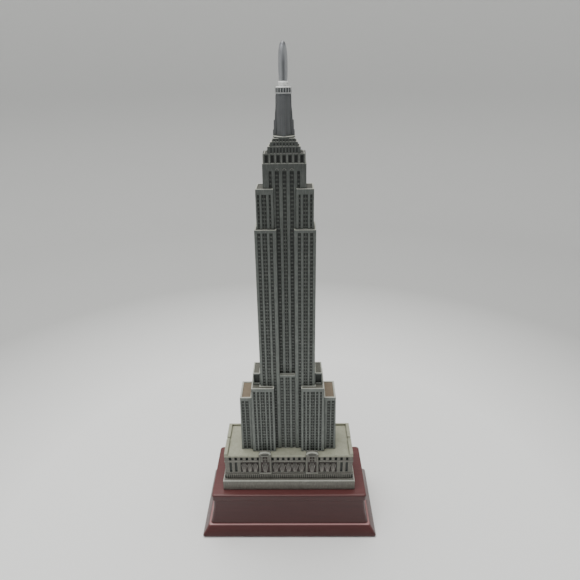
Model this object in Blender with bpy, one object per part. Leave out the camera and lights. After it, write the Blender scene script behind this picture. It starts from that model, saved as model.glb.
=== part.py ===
"""Miniature landmark model: a stepped tower cast in resin, on a lacquered plinth.

Origin at the centre of the underside, +Z up, the entrance front towards -Y, in metres.
Each casting stands on the one below and is held by a peg, a pin or a screw.
"""

import math

import bmesh
import bpy

MM = 0.001
GAP = 0.3 * MM  # glue line between neighbouring castings
OVERLAP = 1.0 * MM  # how far a peg's root runs into its own casting
CUT_PAST = 2.0 * MM  # how far a hole's cutter runs past the face it opens

# Plinth
PLINTH_WIDTH = 88.0 * MM
PLINTH_DEPTH = 46.0 * MM
PLINTH_CORNER = 0.9 * MM
PLINTH_TOP = 23.1 * MM
FOOT_CLEARANCE = 0.4 * MM
WAIST_LOW = 5.8 * MM
WAIST_HIGH = 19.2 * MM
WAIST_LOW_INSET = 3.4 * MM
WAIST_HOLLOW = 2.4 * MM  # how far the waist draws in between its foot and its head
FELT_INSET = 5.0 * MM
FELT_THICKNESS = 1.1 * MM

# Base slab and podium
SLAB_WIDTH = 66.2 * MM
SLAB_DEPTH = 27.7 * MM
SLAB_TOP = 29.0 * MM
SLAB_CHAMFER = (0.3 * MM, 0.4 * MM)  # width and height
PODIUM_WIDTH = 63.8 * MM
PODIUM_DEPTH = 23.4 * MM
PODIUM_ROOF = 43.4 * MM
PARAPET_HEIGHT = 1.0 * MM
PARAPET_WIDTH = 1.7 * MM
BAND_INSET = 0.6 * MM
BAND_LOW = 32.5 * MM
BAND_HIGH = 39.1 * MM
COURSE_TOP = 31.3 * MM
OPENINGS_TOP = 42.2 * MM
PODIUM_LEVELS = (  # height and inset of each moulding, lowest first
    (SLAB_TOP + GAP, -0.3 * MM),
    (COURSE_TOP, -0.3 * MM),
    (COURSE_TOP + 0.1 * MM, -0.5 * MM),
    (BAND_LOW - 0.6 * MM, -0.5 * MM),
    (BAND_LOW - 0.5 * MM, 0.1 * MM),
    (BAND_LOW, BAND_INSET),
    (BAND_HIGH, BAND_INSET),
    (BAND_HIGH + 0.2 * MM, 0.0),
    (BAND_HIGH + 0.8 * MM, 0.0),
    (BAND_HIGH + 0.9 * MM, 0.4 * MM),
    (OPENINGS_TOP, 0.4 * MM),
    (OPENINGS_TOP + 0.2 * MM, 0.0),
    (PODIUM_ROOF, 0.0),
)

# Entrance pylons and relief panels
PYLON_X = 11.65 * MM
PYLON_WIDTH = 6.1 * MM
PYLON_FRONT = 12.6 * MM
PYLON_TOP = 46.3 * MM
PYLON_RISE = 1.2 * MM  # height of the round head
PYLON_SLOT = 0.9 * MM
PANEL_THICKNESS = 0.6 * MM
SIDE_PANEL = (-23.6 * MM, -15.2 * MM)
CENTRE_PANEL = (-8.0 * MM, 8.0 * MM)

# Setback blocks round the foot of the tower
SHOULDER_BASE = 17.75 * MM
SHOULDER_HEAD = 17.15 * MM
SHOULDER_INNER = 6.4 * MM
SHOULDER_DEPTH = 17.5 * MM
SHOULDER_TOP = 81.0 * MM
STEP_X = 16.35 * MM
STEP_DEPTH = 9.9 * MM
STEP_TOP = 87.05 * MM
OUTER_BASE = 23.5 * MM
OUTER_HEAD = 22.95 * MM
OUTER_DEPTH = 13.9 * MM
OUTER_TOP = 74.5 * MM
INFILL_TOP = 86.8 * MM
INFILL_SETBACK = 0.1 * MM

# Tower
SHAFT_WIDTH = 25.6 * MM
SHAFT_DEPTH = 12.6 * MM
SHAFT_TOP = 157.5 * MM
UPPER_WIDTH = 23.6 * MM
UPPER_DEPTH = 10.6 * MM
UPPER_TOP = 174.2 * MM
CORE_DEPTH = 8.6 * MM
RECESS_HALF = 3.7 * MM
UPPER_RECESS_HALF = 4.6 * MM
CHANNEL = 0.5 * MM
CROWN_WIDTH = 17.5 * MM
CROWN_TOP = 184.0 * MM

# Window columns: from and to, measured along the wall from its centre line
SHOULDER_COLUMNS = (
    (7.45 * MM, 8.35 * MM),
    (9.15 * MM, 10.15 * MM),
    (10.95 * MM, 12.8 * MM),
    (13.45 * MM, 14.45 * MM),
    (15.3 * MM, 16.2 * MM),
)
OUTER_COLUMNS = ((18.9 * MM, 20.4 * MM), (21.0 * MM, 22.3 * MM))
CENTRE_COLUMN = 0.9 * MM  # half the width of the middle column of a recess
RECESS_COLUMN = (1.9 * MM, 3.3 * MM)
INFILL_COLUMN = (2.0 * MM, 3.0 * MM)
SHAFT_COLUMNS = ((5.2 * MM, 6.5 * MM), (7.55 * MM, 9.4 * MM), (10.3 * MM, 11.6 * MM))
SHAFT_SIDE = (1.0 * MM, (3.4 * MM, 4.6 * MM))  # half the middle column, then the outer one
UPPER_COLUMNS = ((5.6 * MM, 6.6 * MM), (7.3 * MM, 9.2 * MM), (10.0 * MM, 11.0 * MM))
UPPER_SIDE = (0.9 * MM, (2.6 * MM, 3.8 * MM))
CROWN_CENTRE = 0.7 * MM
CROWN_COLUMNS = ((2.2 * MM, 3.5 * MM), (5.1 * MM, 6.2 * MM))
CROWN_SIDE = (1.0 * MM, 2.2 * MM)

# Crown tiers
TIERS = (  # width, depth and top of each small setback, lowest first
    (16.4 * MM, 8.3 * MM, 187.7 * MM),
    (12.7 * MM, 8.1 * MM, 190.5 * MM),
    (10.9 * MM, 7.9 * MM, 192.2 * MM),
    (8.9 * MM, 7.7 * MM, 193.6 * MM),
)
RIM_RADIUS = 4.3 * MM
RIM_TOP = 194.2 * MM

# Mast, ring, dome and spire
MAST_TOP = 208.9 * MM
WING_HALF = 0.8 * MM
CORE_RADII = (3.1 * MM, 2.8 * MM)  # at the mast's foot and head
WING_LEVELS = (  # height and reach of the wings
    (RIM_TOP + GAP, 4.25 * MM),
    (196.4 * MM, 4.22 * MM),
    (196.5 * MM, 3.95 * MM),
    (199.9 * MM, 3.87 * MM),
    (200.1 * MM, 3.45 * MM),
    (202.6 * MM, 3.34 * MM),
    (204.6 * MM, 3.1 * MM),
    (MAST_TOP, 3.02 * MM),
)
RING_TOP = 212.2 * MM
RING_PROFILE = (  # height and radius: flange, window band, cornice and neck
    (MAST_TOP + GAP, 2.95 * MM),
    (209.4 * MM, 3.15 * MM),
    (209.95 * MM, 3.15 * MM),
    (210.05 * MM, 3.0 * MM),
    (211.45 * MM, 3.0 * MM),
    (211.6 * MM, 2.8 * MM),
    (212.05 * MM, 2.75 * MM),
    (RING_TOP, 2.45 * MM),
)
DOME_RADIUS = 2.15 * MM
DOME_TOP = 214.0 * MM
SPIRE_RADIUS = 1.72 * MM
TOTAL_HEIGHT = 227.3 * MM

# Fixings
SCREW_X = 22.0 * MM
SCREW_RADIUS = 1.45 * MM
SCREW_TIP = 38.5 * MM
SCREW_POINT = (0.4 * MM, 2.0 * MM)  # radius and length
HEAD_RADIUS = 2.8 * MM
HEAD_LOW = 3.0 * MM
HEAD_HIGH = 5.2 * MM
WASHER_RADIUS = 3.4 * MM
WASHER_THICKNESS = 0.5 * MM
PIN_RADIUS = 2.0 * MM
TOWER_PIN = (33.3 * MM, 59.7 * MM)  # from and to
UPPER_PIN_RADIUS = 1.5 * MM
UPPER_PIN = (148.3 * MM, 165.7 * MM)
PEG_RADIUS = 1.3 * MM
PEG_LENGTH = 2.4 * MM
SHOULDER_PEG = (15.2 * MM, 5.2 * MM)  # place of the centre
OUTER_PEG = (20.6 * MM, 4.0 * MM)
CROWN_PEG = (5.0 * MM, 2.0 * MM)  # half sizes of the tongue under the crown block
CROWN_PEG_LENGTH = 2.7 * MM
TIER_PEG = (3.0 * MM, 1.5 * MM)
TIER_PEG_LENGTH = 2.2 * MM
MAST_PEG_LENGTH = 4.7 * MM
STEM_RADIUS = 0.8 * MM
STEM_LOW = 202.0 * MM


def clear_scene():
    for thing in list(bpy.data.objects):
        bpy.data.objects.remove(thing, do_unlink=True)


def finish(name, colour, roughness, metallic=0.0):
    material = bpy.data.materials.new(name)
    material.use_nodes = True
    shader = material.node_tree.nodes["Principled BSDF"]
    shader.inputs["Base Color"].default_value = (*colour, 1.0)
    shader.inputs["Roughness"].default_value = roughness
    shader.inputs["Metallic"].default_value = metallic
    return material


def rectangle(half_x, half_y):
    return [(-half_x, -half_y), (half_x, -half_y), (half_x, half_y), (-half_x, half_y)]


def circle(radius, sides=24):
    turns = [2 * math.pi * i / sides for i in range(sides)]
    return [(radius * math.cos(a), radius * math.sin(a)) for a in turns]


def rounded_rectangle(half_x, half_y, radius, steps=4):
    """A rectangle whose corners are quarter circles, anticlockwise from the front right corner."""
    centres = [(1, -1), (1, 1), (-1, 1), (-1, -1)]
    points = []
    for corner, (side_x, side_y) in enumerate(centres):
        for step in range(steps + 1):
            angle = math.pi / 2 * (corner - 1 + step / steps)
            x = side_x * (half_x - radius) + radius * math.cos(angle)
            y = side_y * (half_y - radius) + radius * math.sin(angle)
            points.append((x, y))
    return points


def wall(low, high, steps):
    """(along, depth) points of a wall from low to high that sinks to a depth over each step."""
    points = [(low, 0.0)]
    end, depth = low, 0.0
    for start, stop, sunk in steps:
        if start > end + 1e-9:
            points += [(end, 0.0)] if depth else []
            depth = 0.0
        points += [(start, depth), (start, sunk)]
        end, depth = stop, sunk
        points.append((end, sunk))
    return points + ([(end, 0.0)] if depth else [])


def without_repeats(points):
    kept = []
    for point in points:
        if not kept or math.dist(point, kept[-1]) > 1e-9:
            kept.append(point)
    return kept


def mirrored_steps(steps, centre=None):
    """The steps given for one half of a wall, their mirror images, and one step across the centre."""
    left = [(-stop, -start, depth) for start, stop, depth in reversed(steps)]
    middle = [(-centre[0], centre[0], centre[1])] if centre else []
    return left + middle + list(steps)


def channels(columns):
    return [(start, stop, CHANNEL) for start, stop in columns]


def walled_outline(half_x, half_y, front, side):
    """A rectangle with sunk channels in its front and back walls, and others in its side walls."""
    lengthways = without_repeats(wall(-half_x, half_x, front))
    crossways = without_repeats(wall(-half_y, half_y, side))
    points = [(along, -half_y + depth) for along, depth in lengthways]
    points += [(half_x - depth, along) for along, depth in crossways]
    points += [(-along, half_y - depth) for along, depth in lengthways]
    points += [(-half_x + depth, -along) for along, depth in crossways]
    return points


def loft(name, sections, material, at=(0.0, 0.0, 0.0)):
    """A closed solid through outlines of one point count, each with its height, lowest first."""
    shape = bmesh.new()
    rings = []
    for height, outline in sections:
        rings.append([shape.verts.new((x, y, height)) for x, y in outline])
    for lower, upper in zip(rings, rings[1:]):
        for i, corner in enumerate(lower):
            j = (i + 1) % len(lower)
            shape.faces.new((corner, lower[j], upper[j], upper[i]))
    shape.faces.new(rings[0][::-1])
    shape.faces.new(rings[-1])
    mesh = bpy.data.meshes.new(name)
    shape.to_mesh(mesh)
    shape.free()
    mesh.materials.append(material)
    made = bpy.data.objects.new(name, mesh)
    made.location = at
    made.parent = assembly
    bpy.context.collection.objects.link(made)
    return made


def rounded_shading(made, angle=40):
    made.data.shade_smooth()
    made.data.set_sharp_from_angle(angle=math.radians(angle))
    return made


def helper(name, outline, low, high, at=(0.0, 0.0)):
    """An upright prism that only cuts or adds to another piece."""
    made = loft(name, [(low, outline), (high, outline)], resin, (*at, 0.0))
    made.hide_render = True
    made.display_type = "WIRE"
    return made


def combine(made, other, operation):
    modifier = made.modifiers.new(other.name, "BOOLEAN")
    modifier.operation = operation
    modifier.object = other
    return made


def add_peg(made, outline, low, high, at=(0.0, 0.0)):
    return combine(made, helper(f"{made.name}_peg", outline, low, high, at), "UNION")


def cut_hole(made, outline, low, high, at=(0.0, 0.0)):
    return combine(made, helper(f"{made.name}_hole", outline, low, high, at), "DIFFERENCE")


def make_felt_pad():
    outline = rectangle(PLINTH_WIDTH / 2 - FELT_INSET, PLINTH_DEPTH / 2 - FELT_INSET)
    loft("felt_pad", [(0.0, outline), (FELT_THICKNESS, outline)], felt)


def plinth_profile():
    """(height, inset) points up the plinth's moulding: foot, hollow waist and top board."""
    points = [(FOOT_CLEARANCE, 0.3 * MM), (0.8 * MM, 0.0), (1.4 * MM, 0.1 * MM)]
    points += [(4.9 * MM, 2.6 * MM), (5.5 * MM, 3.0 * MM)]
    for step in range(7):
        t = step / 6
        inset = WAIST_LOW_INSET + WAIST_HOLLOW * math.sin(t * math.pi / 2)
        points.append((WAIST_LOW + t * (WAIST_HIGH - WAIST_LOW), inset))
    points += [(19.5 * MM, 5.3 * MM), (20.1 * MM, 5.2 * MM), (22.5 * MM, 5.2 * MM)]
    return points + [(PLINTH_TOP, 5.7 * MM)]


def make_plinth():
    sections = []
    for height, inset in plinth_profile():
        half_x = PLINTH_WIDTH / 2 - inset
        half_y = PLINTH_DEPTH / 2 - inset
        sections.append((height, rounded_rectangle(half_x, half_y, PLINTH_CORNER)))
    made = rounded_shading(loft("plinth", sections, lacquer), 25)
    recess = rectangle(
        PLINTH_WIDTH / 2 - FELT_INSET + GAP,
        PLINTH_DEPTH / 2 - FELT_INSET + GAP,
    )
    cut_hole(made, recess, -CUT_PAST, FELT_THICKNESS + GAP)
    for x in (-SCREW_X, SCREW_X):
        seat = HEAD_HIGH + WASHER_THICKNESS + 2 * GAP
        cut_hole(made, circle(WASHER_RADIUS + GAP), 0.0, seat, (x, 0.0))
        bore = circle(SCREW_RADIUS + GAP, 12)
        cut_hole(made, bore, 0.0, PLINTH_TOP + CUT_PAST, (x, 0.0))


def make_fixings():
    for name, x in (("left", -SCREW_X), ("right", SCREW_X)):
        sections = [
            (HEAD_LOW, circle(HEAD_RADIUS * 0.8, 12)),
            (HEAD_LOW + 0.6 * MM, circle(HEAD_RADIUS, 12)),
            (HEAD_HIGH, circle(HEAD_RADIUS, 12)),
            (HEAD_HIGH, circle(SCREW_RADIUS, 12)),
            (SCREW_TIP - SCREW_POINT[1], circle(SCREW_RADIUS, 12)),
            (SCREW_TIP, circle(SCREW_POINT[0], 12)),
        ]
        rounded_shading(loft(f"screw_{name}", sections, steel, (x, 0.0, 0.0)))
        low = HEAD_HIGH + GAP
        outline = circle(WASHER_RADIUS)
        washer = loft(
            f"washer_{name}",
            [(low, outline), (low + WASHER_THICKNESS, outline)],
            steel,
            (x, 0.0, 0.0),
        )
        bore = circle(SCREW_RADIUS + GAP, 12)
        cut_hole(washer, bore, low - CUT_PAST, low + CUT_PAST, (x, 0.0))
        rounded_shading(washer)


def make_base_slab():
    low = PLINTH_TOP + GAP
    sections = []
    width, drop = SLAB_CHAMFER
    for height, inset in ((low, 0.0), (SLAB_TOP - drop, 0.0), (SLAB_TOP, width)):
        sections.append((height, rectangle(SLAB_WIDTH / 2 - inset, SLAB_DEPTH / 2 - inset)))
    made = loft("base_slab", sections, resin)
    for x in (-SCREW_X, SCREW_X):
        bore = circle(SCREW_RADIUS + GAP, 12)
        cut_hole(made, bore, low - CUT_PAST, SLAB_TOP + CUT_PAST, (x, 0.0))


def podium_outline(inset):
    """The podium's plan at one level: plain walls, with a slot for each pylon in the front."""
    half_x = PODIUM_WIDTH / 2 - inset
    half_y = PODIUM_DEPTH / 2 - inset
    slot = PYLON_WIDTH / 2 + GAP
    slots = [(x - slot, x + slot, PYLON_SLOT - inset) for x in (-PYLON_X, PYLON_X)]
    facade = without_repeats(wall(-half_x, half_x, slots))
    points = [(along, -half_y + depth) for along, depth in facade]
    return points + [(half_x, -half_y), (half_x, half_y), (-half_x, half_y)]


def make_podium():
    sections = [(height, podium_outline(inset)) for height, inset in PODIUM_LEVELS]
    made = loft("podium", sections, resin)
    rail = rectangle(PARAPET_WIDTH / 2, PODIUM_DEPTH / 2)
    side = PODIUM_WIDTH / 2 - PARAPET_WIDTH / 2
    low, high = PODIUM_ROOF - OVERLAP, PODIUM_ROOF + PARAPET_HEIGHT
    for x in (-side, side):
        add_peg(made, rail, low, high, (x, 0.0))
    back = rectangle(PODIUM_WIDTH / 2, PARAPET_WIDTH / 4)
    add_peg(made, back, low, high, (0.0, PODIUM_DEPTH / 2 - PARAPET_WIDTH / 4))
    for x in (-SCREW_X, SCREW_X):
        bore = circle(SCREW_RADIUS + GAP, 12)
        cut_hole(made, bore, SLAB_TOP - CUT_PAST, SCREW_TIP + 2 * GAP, (x, 0.0))
    cut_hole(made, circle(PIN_RADIUS + GAP, 16), TOWER_PIN[0] - GAP, PODIUM_ROOF + CUT_PAST)
    for at in peg_places(SHOULDER_PEG) + peg_places(OUTER_PEG):
        socket = circle(PEG_RADIUS + GAP, 12)
        cut_hole(made, socket, PODIUM_ROOF - PEG_LENGTH - GAP, PODIUM_ROOF + CUT_PAST, at)


def make_pylons():
    """Plates with a round head, set upright in the podium's slots."""
    half = PYLON_WIDTH / 2
    spring = PYLON_TOP - PYLON_RISE
    outline = [(-half, BAND_LOW), (half, BAND_LOW)]
    for step in range(9):
        angle = math.pi * step / 8
        outline.append((half * math.cos(angle), spring + PYLON_RISE * math.sin(angle)))
    back = PODIUM_DEPTH / 2 - PYLON_SLOT + GAP
    for name, x in (("left", -PYLON_X), ("right", PYLON_X)):
        sections = [(0.0, outline), (PYLON_FRONT - back, outline)]
        made = loft(f"pylon_{name}", sections, resin, (x, -back, 0.0))
        made.rotation_euler.x = math.pi / 2


def make_frieze():
    """Three plates that lie in the podium's sunk band, between and beside the pylons."""
    spans = {
        "left": SIDE_PANEL,
        "centre": CENTRE_PANEL,
        "right": (-SIDE_PANEL[1], -SIDE_PANEL[0]),
    }
    low, high = BAND_LOW + 2 * GAP, BAND_HIGH - GAP
    back = PODIUM_DEPTH / 2 - BAND_INSET + GAP
    for name, (start, stop) in spans.items():
        outline = rectangle((stop - start) / 2, PANEL_THICKNESS / 2)
        at = ((start + stop) / 2, -back - PANEL_THICKNESS / 2, 0.0)
        loft(f"frieze_{name}", [(low, outline), (high, outline)], resin, at)


def peg_places(peg):
    """The four places of a kind of peg, given the one on the right at the back."""
    return [(side * peg[0], end * peg[1]) for side in (-1, 1) for end in (-1, 1)]


def add_round_pegs(made, places, side):
    """Adds the pegs of one side, which drop into the podium's roof."""
    for at in places:
        if at[0] * side > 0:
            outline = circle(PEG_RADIUS, 12)
            add_peg(made, outline, PODIUM_ROOF - PEG_LENGTH, PODIUM_ROOF + OVERLAP, at)


def flipped(outline, side):
    """The outline as given for the right side, or its mirror image for the left, anticlockwise."""
    return outline if side > 0 else [(-x, y) for x, y in reversed(outline)]


def shoulder_outline(outer):
    """A channelled C that wraps the shaft's flank, open towards the tower's centre."""
    half_y = SHOULDER_DEPTH / 2
    flank = SHAFT_WIDTH / 2 + GAP
    shelf = SHAFT_DEPTH / 2 + GAP
    facade = without_repeats(wall(SHOULDER_INNER, outer, channels(SHOULDER_COLUMNS)))
    points = [(along, -half_y + depth) for along, depth in facade]
    points += [(outer, -half_y), (outer, half_y)]
    points += [(along, half_y - depth) for along, depth in reversed(facade)]
    points += [(SHOULDER_INNER, shelf), (flank, shelf)]
    return points + [(flank, -shelf), (SHOULDER_INNER, -shelf)]


def make_shoulders():
    for name, side in (("left", -1), ("right", 1)):
        sections = [
            (PODIUM_ROOF + GAP, flipped(shoulder_outline(SHOULDER_BASE), side)),
            (SHOULDER_TOP, flipped(shoulder_outline(SHOULDER_HEAD), side)),
        ]
        made = loft(f"shoulder_{name}", sections, resin)
        near = SHAFT_WIDTH / 2 + GAP
        step = rectangle((STEP_X - near) / 2, STEP_DEPTH / 2)
        middle = side * (STEP_X + near) / 2
        add_peg(made, step, SHOULDER_TOP - OVERLAP, STEP_TOP, (middle, 0.0))
        add_round_pegs(made, peg_places(SHOULDER_PEG), side)


def make_outer_blocks():
    half_y = OUTER_DEPTH / 2
    for name, side in (("left", -1), ("right", 1)):
        sections = []
        for height, outer in ((PODIUM_ROOF + GAP, OUTER_BASE), (OUTER_TOP, OUTER_HEAD)):
            facade = without_repeats(wall(SHOULDER_BASE + GAP, outer, channels(OUTER_COLUMNS)))
            points = [(along, -half_y + depth) for along, depth in facade]
            points += [(outer, -half_y), (outer, half_y)]
            points += [(along, half_y - depth) for along, depth in reversed(facade)]
            sections.append((height, flipped(points, side)))
        made = loft(f"outer_block_{name}", sections, resin)
        add_round_pegs(made, peg_places(OUTER_PEG), side)


def make_infills():
    """Channelled plates that fill the foot of the shaft's centre recess, front and back."""
    half_x = RECESS_HALF - GAP
    inner = CORE_DEPTH / 2 + GAP
    outer = SHAFT_DEPTH / 2 - INFILL_SETBACK
    columns = mirrored_steps(channels([INFILL_COLUMN]), (CENTRE_COLUMN, CHANNEL))
    facade = without_repeats(wall(-half_x, half_x, columns))
    outline = [(along, -outer + depth) for along, depth in facade]
    outline += [(half_x, -outer), (half_x, -inner), (-half_x, -inner)]
    for name, turn in (("front", 0.0), ("rear", math.pi)):
        sections = [(PODIUM_ROOF + GAP, outline), (INFILL_TOP, outline)]
        made = loft(f"infill_{name}", sections, resin)
        made.rotation_euler.z = turn


def tower_front(recess, floor, wing_columns):
    """The steps of a tower front: channels in both wings and a deep recess between them."""
    glazed = floor + CHANNEL
    start, stop = RECESS_COLUMN
    half = [(CENTRE_COLUMN, start, floor), (start, stop, glazed), (stop, recess, floor)]
    return mirrored_steps(half + channels(wing_columns), (CENTRE_COLUMN, glazed))


def make_shaft():
    front = tower_front(RECESS_HALF, (SHAFT_DEPTH - CORE_DEPTH) / 2, SHAFT_COLUMNS)
    side = mirrored_steps(channels([SHAFT_SIDE[1]]), (SHAFT_SIDE[0], CHANNEL))
    outline = walled_outline(SHAFT_WIDTH / 2, SHAFT_DEPTH / 2, front, side)
    made = loft("shaft", [(PODIUM_ROOF + GAP, outline), (SHAFT_TOP, outline)], resin)
    lower_bore = circle(PIN_RADIUS + GAP, 16)
    cut_hole(made, lower_bore, PODIUM_ROOF - CUT_PAST, TOWER_PIN[1] + GAP)
    upper_bore = circle(UPPER_PIN_RADIUS + GAP, 16)
    cut_hole(made, upper_bore, UPPER_PIN[0] - GAP, SHAFT_TOP + CUT_PAST)


def make_pins():
    for name, radius, (low, high) in (
        ("tower_pin", PIN_RADIUS, TOWER_PIN),
        ("upper_pin", UPPER_PIN_RADIUS, UPPER_PIN),
    ):
        outline = circle(radius, 16)
        rounded_shading(loft(name, [(low, outline), (high, outline)], steel))


def make_upper_shaft():
    front = tower_front(UPPER_RECESS_HALF, (UPPER_DEPTH - CORE_DEPTH) / 2, UPPER_COLUMNS)
    side = mirrored_steps(channels([UPPER_SIDE[1]]), (UPPER_SIDE[0], CHANNEL))
    outline = walled_outline(UPPER_WIDTH / 2, UPPER_DEPTH / 2, front, side)
    made = loft("upper_shaft", [(SHAFT_TOP + GAP, outline), (UPPER_TOP, outline)], resin)
    bore = circle(UPPER_PIN_RADIUS + GAP, 16)
    cut_hole(made, bore, SHAFT_TOP - CUT_PAST, UPPER_PIN[1] + GAP)
    socket = rectangle(CROWN_PEG[0] + GAP, CROWN_PEG[1] + GAP)
    cut_hole(made, socket, UPPER_TOP - CROWN_PEG_LENGTH - GAP, UPPER_TOP + CUT_PAST)


def make_crown_block():
    front = mirrored_steps(channels(CROWN_COLUMNS), (CROWN_CENTRE, CHANNEL))
    side = mirrored_steps(channels([CROWN_SIDE]))
    outline = walled_outline(CROWN_WIDTH / 2, CORE_DEPTH / 2, front, side)
    made = loft("crown_block", [(UPPER_TOP + GAP, outline), (CROWN_TOP, outline)], resin)
    add_peg(made, rectangle(*CROWN_PEG), UPPER_TOP - CROWN_PEG_LENGTH, UPPER_TOP + OVERLAP)
    socket = rectangle(TIER_PEG[0] + GAP, TIER_PEG[1] + GAP)
    cut_hole(made, socket, CROWN_TOP - TIER_PEG_LENGTH - GAP, CROWN_TOP + CUT_PAST)


def make_crown_tiers():
    low = CROWN_TOP + GAP
    sections = []
    for width, depth, top in TIERS:
        outline = rectangle(width / 2, depth / 2)
        sections += [(low, outline), (top, outline)]
        low = top
    made = loft("crown_tiers", sections, resin)
    add_peg(made, circle(RIM_RADIUS), TIERS[-1][2] - OVERLAP, RIM_TOP)
    add_peg(made, rectangle(*TIER_PEG), CROWN_TOP - TIER_PEG_LENGTH, CROWN_TOP + OVERLAP)
    socket = circle(PIN_RADIUS + GAP, 16)
    cut_hole(made, socket, RIM_TOP - MAST_PEG_LENGTH - GAP, RIM_TOP + CUT_PAST)


def winged_outline(core, reach):
    """A round core with a flat-ended buttress wing on each of four sides."""
    root = math.asin(WING_HALF / core)
    points = []
    for quarter in range(4):
        turn = quarter * math.pi / 2
        cos, sin = math.cos(turn), math.sin(turn)
        arm = [(reach, -WING_HALF), (reach, WING_HALF)]
        for step in range(5):
            angle = root + step / 4 * (math.pi / 2 - 2 * root)
            arm.append((core * math.cos(angle), core * math.sin(angle)))
        points += [(x * cos - y * sin, x * sin + y * cos) for x, y in arm]
    return points


def make_mast():
    sections = []
    for height, reach in WING_LEVELS:
        rise = (height - RIM_TOP) / (MAST_TOP - RIM_TOP)
        core = CORE_RADII[0] + rise * (CORE_RADII[1] - CORE_RADII[0])
        sections.append((height, winged_outline(core, reach)))
    made = rounded_shading(loft("mast", sections, gunmetal))
    add_peg(made, circle(PIN_RADIUS, 16), RIM_TOP - MAST_PEG_LENGTH, RIM_TOP + OVERLAP)
    cut_hole(made, circle(STEM_RADIUS + GAP, 12), STEM_LOW - GAP, MAST_TOP + CUT_PAST)


def turned(name, profile, material, sides=24):
    sections = [(height, circle(radius, sides)) for height, radius in profile]
    return rounded_shading(loft(name, sections, material))


def make_lantern_ring():
    made = turned("lantern_ring", RING_PROFILE, bright)
    bore = circle(STEM_RADIUS + GAP, 12)
    cut_hole(made, bore, MAST_TOP - CUT_PAST, RING_TOP + CUT_PAST)


def make_dome():
    low = RING_TOP + GAP
    profile = []
    for step in range(6):
        angle = math.radians(15 * step)
        rise = (DOME_TOP - low) * math.sin(angle) / math.sin(math.radians(75))
        profile.append((low + rise, DOME_RADIUS * math.cos(angle) ** 0.6))
    made = turned("dome", profile, bright)
    cut_hole(made, circle(STEM_RADIUS + GAP, 12), low - CUT_PAST, DOME_TOP + CUT_PAST)


def make_spire():
    """A long ogive on a thin stem that threads the dome and ring and ends in the mast."""
    low = DOME_TOP + GAP
    profile = [(STEM_LOW, STEM_RADIUS), (low, STEM_RADIUS), (low, 0.94 * SPIRE_RADIUS)]
    for step in range(1, 13):
        t = step / 12
        height = low + (TOTAL_HEIGHT - low) * math.sin(t * math.pi / 2)
        swell = 0.94 + 0.06 * min(1.0, 3 * t)
        nose = max(0.0, (math.sin(t * math.pi / 2) - 0.55) / 0.45)
        profile.append((height, SPIRE_RADIUS * swell * max(0.12, (1 - nose**2.6) ** 0.62)))
    turned("spire", profile, polished, 16)


clear_scene()
assembly = bpy.data.objects.new("assembly", None)
bpy.context.collection.objects.link(assembly)

resin = finish("washed_resin", (0.13, 0.135, 0.12), 0.62)
lacquer = finish("mahogany_lacquer", (0.09, 0.02, 0.022), 0.25)
gunmetal = finish("gunmetal_paint", (0.09, 0.095, 0.1), 0.35, 0.5)
bright = finish("silver_paint", (0.6, 0.62, 0.6), 0.35, 0.4)
polished = finish("polished_metal", (0.4, 0.4, 0.43), 0.18, 1.0)
steel = finish("zinc_steel", (0.5, 0.5, 0.5), 0.35, 1.0)
felt = finish("felt", (0.02, 0.05, 0.03), 0.95)

make_felt_pad()
make_plinth()
make_fixings()
make_base_slab()
make_podium()
make_pylons()
make_frieze()
make_shoulders()
make_outer_blocks()
make_infills()
make_shaft()
make_pins()
make_upper_shaft()
make_crown_block()
make_crown_tiers()
make_mast()
make_lantern_ring()
make_dome()
make_spire()
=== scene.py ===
import math

import bmesh
import bpy
from mathutils import Matrix, Vector


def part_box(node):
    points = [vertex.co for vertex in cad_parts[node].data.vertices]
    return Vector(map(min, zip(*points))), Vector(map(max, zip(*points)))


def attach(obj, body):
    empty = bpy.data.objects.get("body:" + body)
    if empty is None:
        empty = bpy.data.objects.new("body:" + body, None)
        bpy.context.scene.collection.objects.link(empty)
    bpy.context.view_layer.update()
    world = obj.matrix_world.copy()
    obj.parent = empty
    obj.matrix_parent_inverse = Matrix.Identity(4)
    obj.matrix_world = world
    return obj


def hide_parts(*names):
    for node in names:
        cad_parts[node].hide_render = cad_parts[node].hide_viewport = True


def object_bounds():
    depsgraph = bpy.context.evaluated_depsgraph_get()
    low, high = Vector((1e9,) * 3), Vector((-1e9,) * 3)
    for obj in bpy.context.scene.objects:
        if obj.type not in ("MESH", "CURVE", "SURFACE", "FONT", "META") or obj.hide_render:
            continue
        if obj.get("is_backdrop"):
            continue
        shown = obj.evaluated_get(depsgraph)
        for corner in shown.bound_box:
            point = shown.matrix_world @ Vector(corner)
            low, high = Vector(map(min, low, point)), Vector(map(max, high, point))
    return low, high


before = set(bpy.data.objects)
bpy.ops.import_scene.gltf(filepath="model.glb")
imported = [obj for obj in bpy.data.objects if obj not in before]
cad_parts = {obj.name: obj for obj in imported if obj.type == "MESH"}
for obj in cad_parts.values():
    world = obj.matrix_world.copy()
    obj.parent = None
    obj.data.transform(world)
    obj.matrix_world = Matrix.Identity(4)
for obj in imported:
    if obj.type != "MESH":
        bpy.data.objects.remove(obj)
cad_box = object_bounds()

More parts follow.
